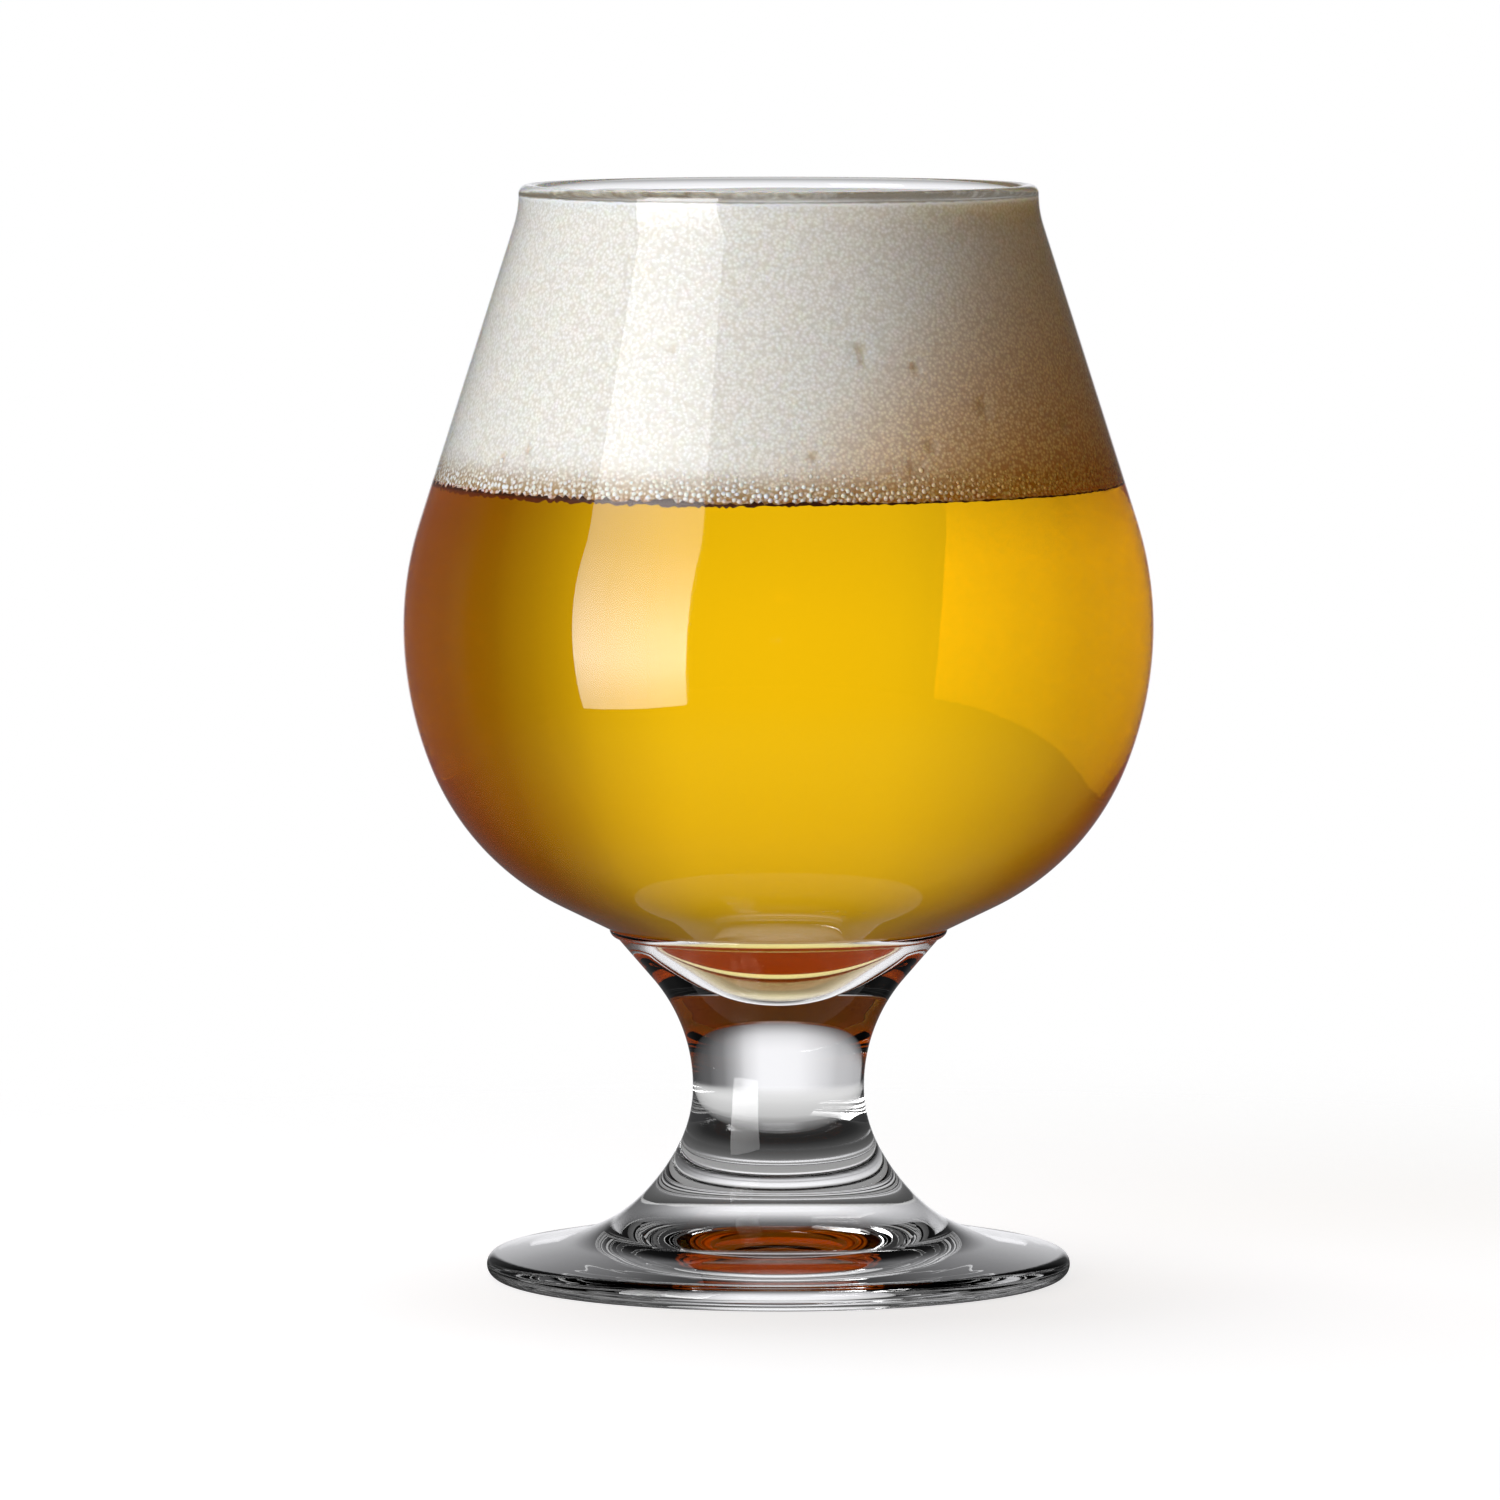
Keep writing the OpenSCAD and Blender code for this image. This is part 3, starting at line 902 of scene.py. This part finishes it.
def backdrop():
    """The card and the room as a world, which the camera itself sees as plain white."""
    world = bpy.data.worlds.new("studio")
    scene.world = world
    world.use_nodes = True
    tree = world.node_tree
    tree.nodes.clear()
    way = add(tree, "SeparateXYZ", {0: add(tree, "TexCoord").outputs["Generated"]}).outputs
    ahead = add(tree, "Math", {0: way["Y"], 1: LEAST_AHEAD}, operation="MAXIMUM")
    across = add(tree, "Math", {0: way["X"], 1: ahead}, operation="DIVIDE")
    up = add(tree, "Math", {0: way["Z"], 1: ahead}, operation="DIVIDE")
    card_across = levels(tree, across, -CARD_REACH, CARD_REACH, CARD_ACROSS)
    card_up = levels(tree, up, -CARD_REACH, CARD_REACH, CARD_UP)
    card = add(tree, "Math", {0: card_across, 1: card_up}, operation="MULTIPLY")
    level = add(tree, "Math", {0: card, 1: ROOM_LEVEL}, operation="ADD")
    # A glancing mirror image in the foot shows the card's middle at full strength
    middle_across = levels(tree, across, -MIDDLE_REACH, MIDDLE_REACH, MIDDLE_ACROSS)
    middle_up = levels(tree, up, -MIDDLE_REACH, MIDDLE_REACH, MIDDLE_UP)
    middle = add(tree, "Math", {0: middle_across, 1: middle_up}, operation="MULTIPLY")
    mirrored = add(tree, "Math", {0: middle, 1: MIRRORED_SHARE}, operation="MAXIMUM")
    path = add(tree, "LightPath").outputs
    share = add(tree, "Mix", {"Factor": path["Is Reflection Ray"], "A": 1.0, "B": mirrored})
    strength = add(tree, "Math", {0: level, 1: share}, operation="MULTIPLY")
    studio = add(tree, "Background", {"Color": colour("#FCFCFF"), "Strength": strength})
    white = add(tree, "Background", {"Color": WHITE, "Strength": 1.0})
    mix = add(tree, "MixShader", {0: path["Is Camera Ray"], 1: studio, 2: white})
    add(tree, "OutputWorld", {"Surface": mix})


# The softbox is brightest in its lower half, and its cloth has two seams, which show as faint lines
KEY_GLOW = [
    (0.0, 0.55), (0.084, 0.65), (0.259, 1.0), (0.405, 0.85), (0.606, 0.56), (0.828, 0.35), (1.0, 0.22),
]
SEAMS = [
    (0.0, 1.0), (0.3, 1.0), (0.32, 0.88), (0.34, 1.0), (0.64, 0.98), (0.66, 0.88), (0.68, 0.96), (1.0, 0.92),
]
INSIDE_SHARE = 0.44
LAMP_TARGET = Vector((0, 0, 0.09))


def light_cloth(tree):
    """Gives a lamp the glow and the seams of a softbox's cloth, dimmer where glass lies before it."""
    across_up = add(tree, "SeparateXYZ", {0: add(tree, "NewGeometry").outputs["Parametric"]}).outputs
    glow = levels(tree, across_up["Y"], 0.0, 1.0, KEY_GLOW)
    seams = levels(tree, across_up["X"], 0.0, 1.0, SEAMS)
    cloth = add(tree, "Math", {0: glow, 1: seams}, operation="MULTIPLY")
    inside = add(tree, "LightPath").outputs["Is Transmission Ray"]
    share = add(tree, "Mix", {"Factor": inside, "A": 1.0, "B": INSIDE_SHARE})
    strength = add(tree, "Math", {0: cloth, 1: share}, operation="MULTIPLY")
    tree.links.new(strength.outputs[0], tree.nodes["Emission"].inputs["Strength"])


def softbox(name, turn, lift, distance, width, height, power, tint="#FFFFFF", mirrored=False):
    """A lamp that faces the glass. turn is degrees left of the camera, lift degrees above level. One
    that glass and beer mirror shows its cloth."""
    data = bpy.data.lights.new(name, "AREA")
    data.shape = "RECTANGLE"
    data.size = width
    data.size_y = height
    data.energy = power
    data.color = colour(tint)[:3]
    if mirrored:
        data.use_nodes = True
        light_cloth(data.node_tree)
    lamp = bpy.data.objects.new(name, data)
    away = Vector((-sin(turn) * cos(lift), -cos(turn) * cos(lift), sin(lift)))
    lamp.location = LAMP_TARGET + away * distance
    lamp.rotation_euler = away.to_track_quat("Z", "Y").to_euler()
    lamp.visible_camera = False
    lamp.visible_glossy = mirrored
    lamp.visible_transmission = mirrored
    scene.collection.objects.link(lamp)


backdrop()
softbox("key_softbox", turn=45.6, lift=9, distance=0.81, width=0.545, height=0.9, power=13.6, mirrored=True)
softbox("key_spill", turn=14, lift=9, distance=1.0, width=0.5, height=0.5, power=3.0)
softbox("back_light", turn=165, lift=72, distance=1.2, width=0.8, height=0.8, power=6.0)
softbox("warm_bounce", turn=-88, lift=0, distance=1.2, width=0.9, height=0.9, power=2.9, tint="#FFCA6C")

TABLE_R = 0.4
TABLE_DROP = 0.02 * MM
TABLE_CORNERS = 96
TABLE_LIFT = 0.6
TABLE_LEVELS = [
    (0.0, 0.12), (0.011, 0.02), (0.015, 0.02), (0.03, 0.18), (0.038, 0.3), (0.048, 0.41), (0.057, 0.6),
    (0.08, 0.68), (0.113, 0.79), (0.146, 0.84), (0.2, 0.88), (0.352, 0.93),
]


def table_material():
    """A pale matt table, which the camera sees as white but for the glass's shadow, and which fades
    into the backdrop."""
    material, tree = new_material("pale_table")
    path = add(tree, "LightPath").outputs
    from_glass = add(tree, "VectorMath", {0: add(tree, "TexCoord").outputs["Object"]}, operation="LENGTH")
    lit = add(tree, "BsdfDiffuse", {"Color": colour("#D8D8DA")})
    lift = add(tree, "Math", {0: path["Is Camera Ray"], 1: TABLE_LIFT}, operation="MULTIPLY")
    open_glow = add(tree, "Emission", {"Color": WHITE, "Strength": lift})
    open_table = add(tree, "AddShader", {0: lit, 1: open_glow})
    # Seen in or through the glass, the table is a glow with a painted shadow: dark under the foot, with a
    # darker band, and paling away from it
    under_glass = levels(tree, from_glass, 0.0, TABLE_R, TABLE_LEVELS)
    share = add(tree, "Mix", {"Factor": path["Is Reflection Ray"], "A": 1.0, "B": MIRRORED_SHARE})
    strength = add(tree, "Math", {0: under_glass, 1: share}, operation="MULTIPLY")
    glass_glow = add(tree, "Emission", {"Color": WHITE, "Strength": strength})
    by_glass = add(
        tree, "Math", {0: path["Is Glossy Ray"], 1: path["Is Transmission Ray"]}, operation="MAXIMUM"
    )
    table = add(tree, "MixShader", {0: by_glass, 1: open_table, 2: glass_glow})
    fade_from = add(tree, "Mix", {"Factor": path["Is Reflection Ray"], "A": 0.1, "B": 0.045})
    fade_to = add(tree, "Mix", {"Factor": path["Is Reflection Ray"], "A": 0.3, "B": 0.09})
    fade = add(
        tree, "MapRange", {"Value": from_glass, "From Min": fade_from, "From Max": fade_to},
        interpolation_type="SMOOTHSTEP",
    )
    faded = add(tree, "MixShader", {0: fade, 1: table, 2: add(tree, "BsdfTransparent")})
    add(tree, "OutputMaterial", {"Surface": faded})
    return material


floor_mesh = bpy.data.meshes.new("floor")
floor_turns = [2 * math.pi * i / TABLE_CORNERS for i in range(TABLE_CORNERS)]
floor_edge = [(TABLE_R * math.cos(t), TABLE_R * math.sin(t), -TABLE_DROP) for t in floor_turns]
floor_mesh.from_pydata(floor_edge, [], [list(range(TABLE_CORNERS))])
floor_mesh.materials.append(table_material())
floor = bpy.data.objects.new("floor", floor_mesh)
scene.collection.objects.link(floor)
